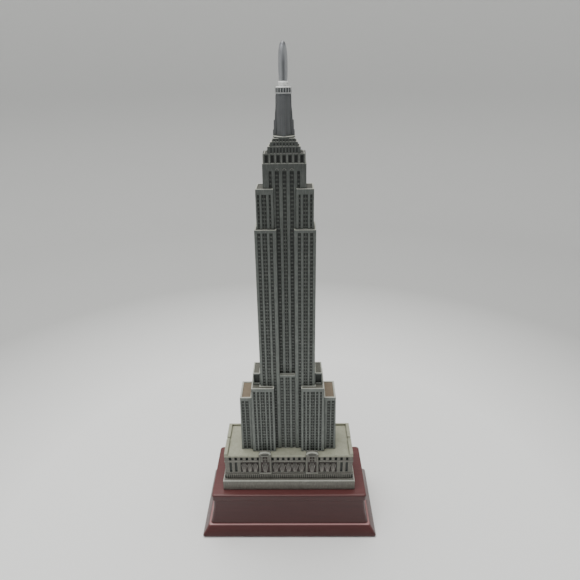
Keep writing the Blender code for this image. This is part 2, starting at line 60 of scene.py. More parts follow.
# --------------------
# The camera stands a little above the top of the model and looks down at its entrance front.
# Lengths in this file are in millimetres until they go into a mesh.
MM = 0.001
lens_data = bpy.data.cameras.new("camera")
lens_data.sensor_width = 36.0
lens_data.lens = 31.03
lens_data.clip_start = 0.02
camera = bpy.data.objects.new("camera", lens_data)
camera_place = Vector((4.4, -203.3, 219.1)) * MM
camera_turn = Matrix.Rotation(math.radians(0.79), 4, "Z")
camera_tilt = Matrix.Rotation(math.radians(90.0 - 24.20), 4, "X")
camera_roll = Matrix.Rotation(math.radians(-0.72), 4, "Z")
camera.matrix_world = Matrix.Translation(camera_place) @ camera_turn @ camera_tilt @ camera_roll
bpy.context.collection.objects.link(camera)
bpy.context.scene.camera = camera


# --------------------
# The floor is one pale, matt sheet that curves up all round into a low wall, as in a light tent, so
# that every side of the model stands in front of the same plain surface.
def linear(code):
    """An sRGB hex colour as linear red, green, blue and alpha."""
    values = [int(code[i : i + 2], 16) / 255 for i in (0, 2, 4)]
    return [v / 12.92 if v <= 0.04045 else ((v + 0.055) / 1.055) ** 2.4 for v in values] + [1.0]


def feed(node, inputs):
    """Gives a node's sockets their values or the sockets that feed them; a node means its main output."""
    for key, value in inputs.items():
        if isinstance(value, bpy.types.Node):
            value = next(output for output in value.outputs if output.enabled)
        if isinstance(value, bpy.types.NodeSocket):
            node.id_data.links.new(value, node.inputs[key])
        else:
            node.inputs[key].default_value = value
    return node


def add(tree, kind, inputs=None, **settings):
    """Adds one node with its settings and links."""
    made = tree.nodes.new(kind)
    for name, value in settings.items():
        setattr(made, name, value)
    return feed(made, inputs or {})


def start_material(name, roughness, metallic=0.0):
    material = bpy.data.materials.new(name)
    material.use_nodes = True
    shader = material.node_tree.nodes["Principled BSDF"]
    feed(shader, {"Roughness": roughness, "Metallic": metallic})
    place = add(material.node_tree, "ShaderNodeTexCoord").outputs["Object"]
    return material, material.node_tree, shader, place


def stand(name, shape, materials):
    """Turns finished bmesh work into an object of the scene."""
    mesh = bpy.data.meshes.new(name)
    shape.to_mesh(mesh)
    shape.free()
    for material in materials:
        mesh.materials.append(material)
    made = bpy.data.objects.new(name, mesh)
    bpy.context.collection.objects.link(made)
    return made


def stand_mesh(name, rings, materials, close_ends=True):
    """A mesh through closed rings of equal point count, in millimetres, from the lowest up."""
    shape = bmesh.new()
    loops = [[shape.verts.new(Vector(p) * MM) for p in ring] for ring in rings]
    for lower, upper in zip(loops, loops[1:]):
        for i, corner in enumerate(lower):
            j = (i + 1) % len(lower)
            shape.faces.new((corner, lower[j], upper[j], upper[i]))
    if close_ends:
        shape.faces.new(loops[0][::-1])
        shape.faces.new(loops[-1])
    return stand(name, shape, materials)


def circle(radius, height, sides=48):
    turns = [2 * math.pi * i / sides for i in range(sides)]
    return [(radius * math.cos(a), radius * math.sin(a), height) for a in turns]


# Graduated background card: matt, and its own colour goes from white in the middle to light grey
# further out, so the fall in brightness is painted and isn't only the light's.
card, tree, shader, place = start_material("graduated_background_card", 0.9)
far = add(tree, "ShaderNodeVectorMath", {0: place}, operation="LENGTH")
painted_falloff = add(tree, "ShaderNodeMapRange", {"Value": far, "From Min": 0.15, "From Max": 0.31})
grey = add(
    tree,
    "ShaderNodeMix",
    {"Factor": painted_falloff, "A": linear("F3F4F4"), "B": linear("B7B8B8")},
    data_type="RGBA",
)
feed(shader, {"Base Color": grey})
FLAT_RADIUS = 520.0
COVE_RADIUS = 180.0
WALL_TOP = 620.0
tent_rings = [circle(0.5, 0.0, 96), circle(FLAT_RADIUS, 0.0, 96)]
for step in range(1, 13):
    angle = math.pi / 2 * step / 12
    reach = FLAT_RADIUS + COVE_RADIUS * math.sin(angle)
    tent_rings.append(circle(reach, COVE_RADIUS * (1 - math.cos(angle)), 96))
tent_rings.append(circle(FLAT_RADIUS + COVE_RADIUS, WALL_TOP, 96))
floor = stand_mesh("floor", tent_rings, [card], close_ends=False)
cap = bmesh.new()
cap.from_mesh(floor.data)
bmesh.ops.contextual_create(cap, geom=[e for e in cap.edges if e.is_boundary and e.verts[0].co.z < MM])
bmesh.ops.recalc_face_normals(cap, faces=cap.faces)
bmesh.ops.reverse_faces(cap, faces=cap.faces)
cap.to_mesh(floor.data)
cap.free()
floor.data.shade_smooth()
floor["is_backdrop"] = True

world = bpy.data.worlds.new("room")
world.use_nodes = True
feed(world.node_tree.nodes["Background"], {"Color": linear("E9ECEE"), "Strength": 0.37})
bpy.context.scene.world = world


def softbox(name, place, aim, size, power, colour):
    data = bpy.data.lights.new(name, "AREA")
    data.size = size
    data.energy = power
    data.color = linear(colour)[:3]
    made = bpy.data.objects.new(name, data)
    made.location = place
    made.rotation_euler = (Vector(aim) - Vector(place)).to_track_quat("-Z", "Y").to_euler()
    bpy.context.collection.objects.link(made)


softbox("overhead", (-0.10, 0.10, 0.95), (0.0, 0.0, 0.10), 0.9, 11.4, "FFFDF8")
softbox("window", (-0.45, -0.55, 0.62), (0.0, 0.0, 0.10), 0.6, 1.7, "F4F8FF")


# --------------------
# The felt pad is a die-cut sheet of short wool felt, glued into the recess under the plinth so that
# the lacquer doesn't touch the shelf.
def box_mm(node):
    low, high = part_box(node)
    return Vector(low) / MM, Vector(high) / MM


def rounded_rectangle(half_x, half_y, radius, height, steps=5):
    points = []
    for corner, (side_x, side_y) in enumerate(((1, -1), (1, 1), (-1, 1), (-1, -1))):
        for step in range(steps + 1):
            angle = math.pi / 2 * (corner - 1 + step / steps)
            x = side_x * (half_x - radius) + radius * math.cos(angle)
            y = side_y * (half_y - radius) + radius * math.sin(angle)
            points.append((x, y, height))
    return points


def show(piece, node):
    """Puts a finished piece on the body in place of its CAD node."""
    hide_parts(node)
    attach(piece, "root")
    return piece


# Needled wool felt: dull, dark green, with a fine tangle of fibres about 0.3 mm across.
felt, tree, shader, place = start_material("wool_felt", 0.95)
fibre = add(tree, "ShaderNodeTexNoise", {"Vector": place, "Scale": 3000.0, "Detail": 3.0})
tint = add(
    tree,
    "ShaderNodeMix",
    {"Factor": fibre, "A": linear("1C2A22"), "B": linear("33463A")},
    data_type="RGBA",
)
nap = add(tree, "ShaderNodeBump", {"Height": fibre, "Strength": 0.7, "Distance": 0.00015})
feed(shader, {"Base Color": tint, "Normal": nap, "Sheen Weight": 0.4})

low, high = box_mm("felt_pad")
pad_rings = []
for height, inset in ((low.z, 0.15), (low.z + 0.15, 0.0), (high.z - 0.15, 0.0), (high.z, 0.15)):
    pad_rings.append(rounded_rectangle(high.x - inset, high.y - inset, 0.8, height))
felt_pad = stand_mesh("felt_sheet", pad_rings, [felt])
show(felt_pad, "felt_pad")

# --------------------
# The plinth is one block, moulded on a router table with a splayed foot, a hollow waist and an
# overhanging top board, then sprayed with several coats of tinted lacquer and buffed.

# Gloss lacquer over a red-brown stain, with faint lengthwise streaks about 1 mm wide. Faces that look up
# are painted paler than upright ones: a painted highlight for the light and reflections they catch from
# above.
lacquer, tree, shader, place = start_material("mahogany_lacquer", 0.42)
along_grain = add(tree, "ShaderNodeMapping", {"Vector": place, "Scale": (60.0, 900.0, 900.0)})
streak = add(tree, "ShaderNodeTexNoise", {"Vector": along_grain, "Scale": 1.0, "Detail": 5.0})
upward = add(tree, "ShaderNodeNewGeometry")
tilt = add(tree, "ShaderNodeSeparateXYZ", {"Vector": upward.outputs["Normal"]})
top_light = add(tree, "ShaderNodeMapRange", {"Value": tilt.outputs["Z"], "From Min": 0.4, "From Max": 0.95})
deep = add(
    tree,
    "ShaderNodeMix",
    {"Factor": streak, "A": linear("35100F"), "B": linear("441819")},
    data_type="RGBA",
)
lit = add(
    tree,
    "ShaderNodeMix",
    {"Factor": streak, "A": linear("56302F"), "B": linear("67393A")},
    data_type="RGBA",
)
stain_and_top_light = add(tree, "ShaderNodeMix", {"Factor": top_light, "A": deep, "B": lit}, data_type="RGBA")
# The thin ledge above the splayed foot is painted paler still: a painted highlight where its flat top
# catches the light.
height = add(tree, "ShaderNodeSeparateXYZ", {"Vector": place}).outputs["Z"]
foot_end = add(tree, "ShaderNodeMapRange", {"Value": height, "From Min": 7.0 * MM, "From Max": 6.0 * MM})
flat = add(tree, "ShaderNodeMapRange", {"Value": tilt.outputs["Z"], "From Min": 0.72, "From Max": 0.97})
ledge_highlight = add(tree, "ShaderNodeMath", {0: foot_end, 1: flat}, operation="MULTIPLY")
ledge_lit = add(tree, "ShaderNodeMix", {"Factor": ledge_highlight, "A": stain_and_top_light, "B": linear("A87C7C")}, data_type="RGBA")
feed(shader, {"Base Color": ledge_lit})
peel = add(tree, "ShaderNodeTexNoise", {"Vector": place, "Scale": 450.0, "Detail": 1.0})
skin = add(tree, "ShaderNodeBump", {"Height": peel, "Strength": 0.12, "Distance": 0.0004})
feed(
    shader,
    {
        "Normal": skin,
        "Coat Normal": skin,
        "Specular IOR Level": 0.35,
        "Coat Weight": 0.3,
        "Coat Roughness": 0.2,
    },
)

low, high = box_mm("plinth")
PLINTH_CORNER = 0.9


def arc(centre, radius, start, stop, steps):
    """(height, inset) points along part of a circle, with angles in degrees."""
    points = []
    for step in range(steps + 1):
        angle = math.radians(start + (stop - start) * step / steps)
        points.append((centre[0] + radius * math.sin(angle), centre[1] + radius * math.cos(angle)))
    return points


moulding = [(low.z, 0.5), (low.z + 0.15, 0.15), (low.z + 0.5, 0.0), (low.z + 0.9, 0.05)]
moulding += [(4.6, 2.4), (5.05, 2.7), (5.4, 2.95), (5.52, 3.15), (5.55, 3.8), (5.7, 3.95)]
WAIST_LOW, WAIST_HIGH = 5.7, 19.0
for step in range(1, 17):
    rise = step / 16
    inset = 3.95 + 1.85 * math.sin(rise * math.pi / 2)
    moulding.append((WAIST_LOW + rise * (WAIST_HIGH - WAIST_LOW), inset))
moulding += [(19.25, 5.6), (19.4, 5.35), (19.7, 5.22), (20.2, 5.2), (22.2, 5.2)]
moulding += arc((22.3, 6.0), 0.8, 180, 90, 6)[1:]
plinth_rings = []
for height, inset in moulding:
    corner = PLINTH_CORNER + 0.1 * inset
    plinth_rings.append(rounded_rectangle(high.x - inset, high.y - inset, corner, height, 8))
plinth = stand_mesh("plinth_block", plinth_rings, [lacquer])
plinth.data.shade_smooth()
plinth.data.set_sharp_from_angle(angle=math.radians(38))
show(plinth, "plinth")

# --------------------
# Two screws with washers come up through the plinth, and two steel pins key the tower's castings to
# each other. They are out of sight in the finished model and keep their plain turned shapes.
def clouded(tree, place, scale, detail, dark, pale):
    """A colour that wanders between two tones in soft clouds."""
    cloud = add(tree, "ShaderNodeTexNoise", {"Vector": place, "Scale": scale, "Detail": detail})
    return add(
        tree, "ShaderNodeMix", {"Factor": cloud, "A": linear(dark), "B": linear(pale)}, data_type="RGBA"
    )


# Bright zinc plating: pale grey metal with a slightly uneven, satin surface.
zinc, tree, shader, place = start_material("zinc_plated_steel", 0.32, 1.0)
plating = clouded(tree, place, 700.0, 4.0, "A9ABAE", "C9CACC")
feed(shader, {"Base Color": plating})
for name in ("screw_left", "screw_right", "washer_left", "washer_right", "tower_pin", "upper_pin"):
    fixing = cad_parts[name]
    fixing.data.materials.clear()
    fixing.data.materials.append(zinc)


# --------------------
# The base slab is a plain resin casting. Like every casting above it, it comes out of a rubber
# mould and gets a dark wash that is wiped off the faces; the colour is left darker in hollows and
# corners, which is painted shade as well as wash, and the edges that face up are dry-brushed pale, which
# is a painted highlight as well as dry-brush.
def painted_resin(name, wiped, hollow_tone, brushed, brush_amount=0.35, darker_up_tower=True):
    """Cast resin after it is washed. Of its colours, wiped is the open face; the second is the darker
    colour that ambient occlusion lays in hollows, pores and tight corners, washed resin and painted shade
    together;
    brushed is the pale paint caught on high spots, in streaks 0.4 mm wide that run down the face.

    The flag after brush_amount darkens the colour itself in two steps up the tower, to 0.4 of its
    value at the top."""
    material, tree, shader, place = start_material(name, 0.58)
    # Darker in hollows and tight corners: washed resin and painted shade together.
    crevice = add(tree, "ShaderNodeAmbientOcclusion", {"Distance": 1.1 * MM}, samples=8)
    depth = add(
        tree, "ShaderNodeMapRange", {"Value": crevice.outputs["AO"], "From Min": 0.25, "From Max": 0.85}
    )
    mottle = add(tree, "ShaderNodeTexNoise", {"Vector": place, "Scale": 420.0, "Detail": 4.0})
    blotch = add(tree, "ShaderNodeMath", {0: mottle, 1: 0.55, 2: 0.62}, operation="MULTIPLY_ADD")
    wash_and_shade = add(tree, "ShaderNodeMath", {0: depth, 1: blotch}, operation="MULTIPLY")
    face = add(
        tree, "ShaderNodeMix", {"Factor": wash_and_shade, "A": linear(hollow_tone), "B": linear(wiped)}, data_type="RGBA"
    )
    downward = add(tree, "ShaderNodeMapping", {"Vector": place, "Scale": (2400.0, 2400.0, 500.0)})
    bristle = add(tree, "ShaderNodeTexNoise", {"Vector": downward, "Scale": 1.0, "Detail": 3.0})
    caught = add(
        tree,
        "ShaderNodeMapRange",
        {"Value": bristle, "From Min": 0.5, "From Max": 0.75, "To Max": brush_amount},
    )
    dry = add(tree, "ShaderNodeMath", {0: caught, 1: depth}, operation="MULTIPLY")
    colour = add(
        tree, "ShaderNodeMix", {"Factor": dry, "A": face, "B": linear(brushed)}, data_type="RGBA"
    )
    height = add(tree, "ShaderNodeSeparateXYZ", {"Vector": place}).outputs["Z"]
    # The colour can be made darker towards the top of the tower, in two steps.
    shade = 1.0
    for start, stop, left in ((90.0, 160.0, 0.67), (170.0, 185.0, 0.6)) if darker_up_tower else ():
        span = {"From Min": start * MM, "From Max": stop * MM, "To Min": 1.0, "To Max": left}
        step_darker = add(tree, "ShaderNodeMapRange", {"Value": height} | span)
        both = add(tree, "ShaderNodeMath", {0: shade, 1: step_darker}, operation="MULTIPLY")
        shade = both
    washed = add(tree, "ShaderNodeVectorMath", {0: colour, "Scale": shade}, operation="SCALE")
    feed(shader, {"Base Color": washed})
    pores = add(tree, "ShaderNodeTexNoise", {"Vector": place, "Scale": 1500.0, "Detail": 5.0})
    relief = add(tree, "ShaderNodeBump", {"Height": pores, "Strength": 0.35, "Distance": 0.0001})
    feed(shader, {"Normal": relief})
    return material


# Wall faces, the dark hollows behind the windows, and the pale edges, in that order on each casting.
# The hollows' colour is painted shade as well as wash; the pale edges are painted highlight as well as
# dry-brush.
wall_resin = painted_resin("washed_resin", "707571", "2F3230", "9A9F99")
hollow_resin = painted_resin("hollow_wash_and_shade", "3D413E", "1A1D1B", "585C58", 0.2)
spandrel_resin = painted_resin("spandrel_resin", "5C605C", "262927", "959A94", 0.6)
edge_resin = painted_resin("dry_brush_and_highlight_resin", "B3B5AC", "77796F", "CDCEC5", 0.6, darker_up_tower=False)
# The slab and podium are cast from a warmer batch, closer to stone.
stone_resin = painted_resin("stone_resin", "6E6D66", "272421", "9A9990")
STONE_CASTING = [stone_resin, hollow_resin, edge_resin]
CASTING = [wall_resin, hollow_resin, edge_resin]
WALL, HOLLOW, EDGE, ROOF = range(4)


def plain_mesh(piece):
    """The piece's evaluated shape as plain mesh data, with its modifiers removed."""
    graph = bpy.context.evaluated_depsgraph_get()
    mesh = bpy.data.meshes.new_from_object(piece.evaluated_get(graph), depsgraph=graph)
    piece.modifiers.clear()
    piece.data = mesh
    piece.data.name = piece.name
    return piece


LIT_EDGE_SLOPE = 0.3


def soften(piece, width=0.11, plain=None):
    """Rounds the outward corners as a rubber mould does, and paints pale those that face up:
    dry-brush paint and a painted highlight of the light from above.

    plain(middle) tells which edges stay sharp, as where a casting meets its neighbour."""
    shape = bmesh.new()
    shape.from_mesh(piece.data)
    bmesh.ops.remove_doubles(shape, verts=shape.verts, dist=0.004 * MM)
    bmesh.ops.dissolve_limit(
        shape, angle_limit=0.01, verts=shape.verts, edges=shape.edges, delimit={"MATERIAL"}
    )
    weight = shape.edges.layers.float.new("bevel_weight_edge")
    for edge in shape.edges:
        corner = len(edge.link_faces) == 2 and edge.is_convex and edge.calc_face_angle() > 0.5
        if plain and plain((edge.verts[0].co + edge.verts[1].co) / 2 / MM):
            corner = False
        edge[weight] = 1.0 if corner else 0.0
    shape.to_mesh(piece.data)
    shape.free()
    bevel = piece.modifiers.new("mould_radius", "BEVEL")
    bevel.limit_method = "WEIGHT"
    bevel.width = width * MM
    bevel.segments = 2
    bevel.material = EDGE
    bevel.use_clamp_overlap = True
    plain_mesh(piece)
    # Pale paint stays only on rounded edges that face up: a painted highlight as well as dry-brush.
    for face in piece.data.polygons:
        if face.material_index == EDGE and face.normal.z < LIT_EDGE_SLOPE:
            face.material_index = WALL
    piece.data.shade_smooth()
    piece.data.set_sharp_from_angle(angle=math.radians(35))
    return piece


def rectangle(half_x, half_y):
    return [(-half_x, -half_y), (half_x, -half_y), (half_x, half_y), (-half_x, half_y)]


def level(outline, height):
    return [(x, y, height) for x, y in outline]


low, high = box_mm("base_slab")
slab_rings = [level(rectangle(high.x, high.y), low.z - 0.3)]
slab_rings += [level(rectangle(high.x, high.y), high.z - 0.35)]
slab_rings += [level(rectangle(high.x - 0.3, high.y - 0.3), high.z)]
base_slab = soften(stand_mesh("slab_casting", slab_rings, STONE_CASTING), 0.2)
show(base_slab, "base_slab")


# --------------------
# The podium is the next casting: a ribbed plinth course, a ledge, a band of pilasters with sunk
# gaps between them, a string course, a row of small square openings and a sand-coloured roof
# with low parapets on three sides.
def set_out(angle, along, out, height):
    """A point on a wall that faces -Y at angle 0, +X at 90, +Y at 180 and -X at 270 degrees."""
    turn = math.radians(angle)
    x = along * math.cos(turn) + out * math.sin(turn)
    y = along * math.sin(turn) - out * math.cos(turn)
    return (x, y, height)


def four_walls(half_x, half_y):
    """Each wall of a rectangular block as (angle, distance from the middle, half its length)."""
    front, side = (half_y, half_x), (half_x, half_y)
    return [(angle, *(side if angle % 180 else front)) for angle in (0, 90, 180, 270)]


def wall_boxes(name, boxes, materials):
    """Upright boxes on walls, each (angle, along, width, low, high, inner, outer)."""
    shape = bmesh.new()
    for angle, along, width, low, high, inner, outer in boxes:
        corners = []
        for height in (low, high):
            for side, out in ((-1, outer), (1, outer), (1, inner), (-1, inner)):
                point = set_out(angle, along + side * width / 2, out, height)
                corners.append(shape.verts.new(Vector(point) * MM))
        for face in ((3, 2, 1, 0), (4, 5, 6, 7), (0, 1, 5, 4), (1, 2, 6, 5), (2, 3, 7, 6), (3, 0, 4, 7)):
            shape.faces.new([corners[i] for i in face])
    return stand(name, shape, materials)


def carve(piece, boxes):
    """Sinks the boxes into the casting; the cut faces get the dark hollow colour, washed resin that also
    paints the shade inside the hollow.
    """
    cutter = wall_boxes("cutter", boxes, [hollow_resin])
    cut = piece.modifiers.new("carve", "BOOLEAN")
    cut.operation = "DIFFERENCE"
    cut.object = cutter
    cut.material_mode = "TRANSFER"
    plain_mesh(piece)
    bpy.data.objects.remove(cutter, do_unlink=True)
    return piece


def fuse(piece, *others):
    """Adds other meshes to the piece's own and removes their objects."""
    shape = bmesh.new()
    shape.from_mesh(piece.data)
    for other in others:
        for material in other.data.materials:
            if piece.data.materials.find(material.name) < 0:
                piece.data.materials.append(material)
        slots = [piece.data.materials.find(material.name) for material in other.data.materials]
        first = len(shape.faces)
        shape.from_mesh(other.data)
        shape.faces.ensure_lookup_table()
        for face in shape.faces[first:]:
            face.material_index = slots[face.material_index]
        bpy.data.objects.remove(other, do_unlink=True)
    shape.to_mesh(piece.data)
    shape.free()
    return piece


def block_row_tree():
    """Geometry Nodes: copies each starting point along a step and stands a faceted block on each copy."""
    tree = bpy.data.node_groups.new("rows_of_blocks", "GeometryNodeTree")
    face = tree.interface
    kinds = {"Geometry": "Geometry", "Count": "Int", "Step": "Vector", "Depth": "Float"}
    kinds |= {"Height": "Float", "Nose": "Float", "Finish": "Material"}
    for name, kind in kinds.items():
        face.new_socket(name, in_out="INPUT", socket_type=f"NodeSocket{kind}")
    face.new_socket("Geometry", in_out="OUTPUT", socket_type="NodeSocketGeometry")
    given = add(tree, "NodeGroupInput").outputs
    copies = add(
        tree,
        "GeometryNodeDuplicateElements",
        {"Geometry": given["Geometry"], "Amount": given["Count"]},
        domain="POINT",
    )
    shift = add(
        tree,
        "ShaderNodeVectorMath",
        {0: given["Step"], "Scale": copies.outputs["Duplicate Index"]},
        operation="SCALE",
    )
    spread = add(tree, "GeometryNodeSetPosition", {"Geometry": copies, "Offset": shift})
    size = add(tree, "ShaderNodeCombineXYZ", {"X": 1.0, "Y": given["Depth"], "Z": given["Height"]})
    cube = add(tree, "GeometryNodeMeshCube", {"Size": size})
    normal = add(tree, "GeometryNodeInputNormal")
    parts = add(tree, "ShaderNodeSeparateXYZ", {"Vector": normal})
    front = add(
        tree,
        "FunctionNodeCompare",
        {"A": parts.outputs["Y"], "B": -0.5},
        data_type="FLOAT",
        operation="LESS_THAN",
    )
    nose = add(
        tree, "GeometryNodeExtrudeMesh", {"Mesh": cube, "Selection": front, "Offset Scale": given["Nose"]}
    )
    slope = add(
        tree,
        "GeometryNodeScaleElements",
        {"Geometry": nose, "Selection": nose.outputs["Top"], "Scale": 0.72},
    )
    width = add(
        tree, "GeometryNodeInputNamedAttribute", {"Name": "wide"}, data_type="FLOAT"
    ).outputs["Attribute"]
    turn = add(
        tree, "GeometryNodeInputNamedAttribute", {"Name": "turn"}, data_type="FLOAT"
    ).outputs["Attribute"]
    facing = add(tree, "ShaderNodeCombineXYZ", {"Z": turn})
    stretch = add(tree, "ShaderNodeCombineXYZ", {"X": width, "Y": 1.0, "Z": 1.0})
    blocks = add(
        tree,
        "GeometryNodeInstanceOnPoints",
        {"Points": spread, "Instance": slope, "Rotation": facing, "Scale": stretch},
    )
    real = add(tree, "GeometryNodeRealizeInstances", {"Geometry": blocks})
    coated = add(tree, "GeometryNodeSetMaterial", {"Geometry": real, "Material": given["Finish"]})
    add(tree, "NodeGroupOutput", {"Geometry": coated})
    return tree


rows_of_blocks = block_row_tree()


def block_rows(name, starts, count, step, depth, height, nose, finish):
    """Rows of blocks as a plain mesh. Each start is (angle, along, width, out, height of centre)."""
    mesh = bpy.data.meshes.new(name)
    points = [Vector(set_out(a, along, out, z)) * MM for a, along, _, out, z in starts]
    mesh.from_pydata(points, [], [])
    wide = mesh.attributes.new("wide", "FLOAT", "POINT")
    wide.data.foreach_set("value", [start[2] * MM for start in starts])
    turn = mesh.attributes.new("turn", "FLOAT", "POINT")
    turn.data.foreach_set("value", [math.radians(start[0]) for start in starts])
    made = bpy.data.objects.new(name, mesh)
    bpy.context.collection.objects.link(made)
    rows = made.modifiers.new("rows", "NODES")
    rows.node_group = rows_of_blocks
    values = {
        "Count": count,
        "Step": tuple(v * MM for v in step),
        "Depth": depth * MM,
        "Height": height * MM,
        "Nose": nose * MM,
        "Finish": finish,
    }
    for socket in rows_of_blocks.interface.items_tree:
        if socket.in_out == "INPUT" and socket.name in values:
            rows[socket.identifier] = values[socket.name]
    plain_mesh(made)
    made.data.materials.clear()
    made.data.materials.append(finish)
    return made


# Sand-coloured roof paint; at the foot of the walls and in corners it is darker, which paints the shade
# there.
sand_roof = painted_resin("sand_roof_wash", "A0A18E", "5C5D50", "BFBFAE", 0.4)

podium_low, podium_high = box_mm("podium")
PODIUM_ROOF = box_mm("infill_front")[0].z - 0.3
PODIUM_X, PODIUM_Y = 31.9, 11.7
PARAPET = 1.7
COURSE_TOP, BAND_LOW, BAND_HIGH, STRING_TOP, OPENING_TOP = 31.85, 32.7, 39.1, 39.9, 42.2
podium_levels = (
    (podium_low.z - 0.3, 0.0),
    (COURSE_TOP - 0.3, 0.0),
    (COURSE_TOP - 0.25, -0.45),
    (COURSE_TOP, -0.45),
    (COURSE_TOP + 0.1, 0.1),
    (BAND_HIGH, 0.1),
    (BAND_HIGH + 0.15, -0.15),
    (STRING_TOP - 0.1, -0.15),
    (STRING_TOP, 0.1),
    (OPENING_TOP, 0.1),
    (OPENING_TOP + 0.25, -0.05),
    (PODIUM_ROOF, 0.0),
)
podium_rings = [level(rectangle(PODIUM_X - i, PODIUM_Y - i), z) for z, i in podium_levels]
podium = stand_mesh("podium_casting", podium_rings, STONE_CASTING + [sand_roof])
# The wall behind the ribbed course takes the dark hollow colour: painted shade between the ribs and at
# the podium's foot.
for face in podium.data.polygons:
    if face.center.z / MM < COURSE_TOP - 0.26:
        face.material_index = HOLLOW
podium.data.polygons[-1].material_index = ROOF
OPENING_PITCH = 2.66
FRONT_OPENINGS = [i * OPENING_PITCH for i in range(-3, 4)]
FRONT_OPENINGS += [side * (15.1 + i * 2.79) for side in (-1, 1) for i in range(6)]
FRONT_GROOVES = (-28.95, -26.3, 26.3, 28.95)
carvings = []
for angle, reach, half in four_walls(PODIUM_X, PODIUM_Y):
    count = int((half - 1.2) / OPENING_PITCH) if angle else -1
    for i in range(-count, count + 1):
        along = i * OPENING_PITCH
        carvings.append((angle, along, 1.2, 40.3, 42.1, reach - 1.0, reach + 1))
        carvings.append((angle, along, 1.1, BAND_LOW + 0.2, BAND_HIGH - 0.35, reach - 0.75, reach + 1))
for along in FRONT_OPENINGS:
    carvings.append((0, along, 1.25, 40.25, 42.1, PODIUM_Y - 1.0, PODIUM_Y + 1))
for along in FRONT_GROOVES:
    carvings.append((0, along, 1.2, BAND_LOW + 0.15, BAND_HIGH - 0.2, PODIUM_Y - 0.75, PODIUM_Y + 1))
for start, stop in ((-24.0, -15.0), (-8.3, 8.3), (15.0, 24.0)):
    middle = (start + stop) / 2
    low, high = BAND_LOW + 0.1, BAND_HIGH - 0.1
    carvings.append((0, middle, stop - start, low, high, PODIUM_Y - 0.6, PODIUM_Y + 1))
carve(podium, carvings)
for face in podium.data.polygons:
    if face.center.z / MM > OPENING_TOP + 0.1:
        face.material_index = ROOF
soften(podium, 0.12)
rail_foot, rail_top = PODIUM_ROOF - 0.4, podium_high.z
rail_boxes = []
for x in (-1, 1):
    side = x * (PODIUM_X - PARAPET / 2)
    inner, outer = side - PARAPET / 2, side + PARAPET / 2
    for start, stop in ((-PODIUM_Y + 0.1, -0.9), (0.9, PODIUM_Y - 0.1)):
        rail_boxes.append((90, (start + stop) / 2, stop - start, rail_foot, rail_top, inner, outer))
    rail_boxes.append((90, 0.0, 1.9, rail_foot, rail_top - 0.45, inner + 0.15, outer - 0.15))
rear_length = 2 * (PODIUM_X - PARAPET) + 0.2
rail_boxes.append((180, 0.0, rear_length, rail_foot, rail_top - 0.1, PODIUM_Y - 0.85, PODIUM_Y))
rails = soften(wall_boxes("rails", rail_boxes, [sand_roof, hollow_resin, sand_roof]), 0.18)
ribs = []
RIB_PITCH = 1.05
for angle, reach, half in four_walls(PODIUM_X, PODIUM_Y):
    count = int(2 * half / RIB_PITCH)
    first = -(count - 1) / 2 * RIB_PITCH
    turn = math.radians(angle)
    step = (RIB_PITCH * math.cos(turn), RIB_PITCH * math.sin(turn), 0.0)
    start = (angle, first, 0.74, reach + 0.1, 30.35)
    ribs.append(block_rows("ribs", [start], count, step, 0.3, 2.6, 0.15, stone_resin))
fuse(podium, rails, *ribs)
show(podium, "podium")


# --------------------
# The entrance pylons are round-headed plates set into slots in the podium's front. Each has two
# raised jambs under a pale arch, a slot, a small window of four panes, and a fan of relief below.
def headed_plate(name, half, low, high, rise, back, front, materials):
    """An upright plate with a low round head, facing -Y."""
    outline = [(-half, low), (half, low)]
    for step in range(17):
        angle = math.pi * step / 16
        outline.append((half * math.cos(angle), high - rise + rise * math.sin(angle)))
    rings = [[(x, -out, z) for x, z in outline] for out in (back, front)]
    made = stand_mesh(name, rings, materials)
    made.data.flip_normals()
    return made


def raised_bars(name, bars, back, front, material):
    """Straight bars with sloping crowns on a front wall, each (start, stop, width) in (along, height)."""
    shape = bmesh.new()
    for start, stop, width in bars:
        start, stop = Vector(start), Vector(stop)
        direction = (stop - start).normalized()
        across = Vector((-direction.y, direction.x)) * width / 2
        base = [start - across, stop - across, stop + across, start + across]
        middle = (start + stop) / 2
        lower = [shape.verts.new(Vector((p.x, -back, p.y)) * MM) for p in base]
        upper = []
        for point in base:
            drawn = middle + (point - middle) * 0.93
            upper.append(shape.verts.new(Vector((drawn.x, -front, drawn.y)) * MM))
        shape.faces.new(lower[::-1])
        shape.faces.new(upper)
        for i in range(4):
            j = (i + 1) % 4
            shape.faces.new((lower[i], lower[j], upper[j], upper[i]))
    bmesh.ops.recalc_face_normals(shape, faces=shape.faces)
    return stand(name, shape, [material])


def fan(x, foot, head, half):
    """The bars of one fan: five blades that open from a narrow foot to a rounded top."""
    bars = []
    for spread in (-1.0, -0.5, 0.0, 0.5, 1.0):
        top = head - 1.1 * spread**2
        bars.append(((x + 0.38 * spread * half, foot), (x + spread * half, top), 0.29))
    return bars


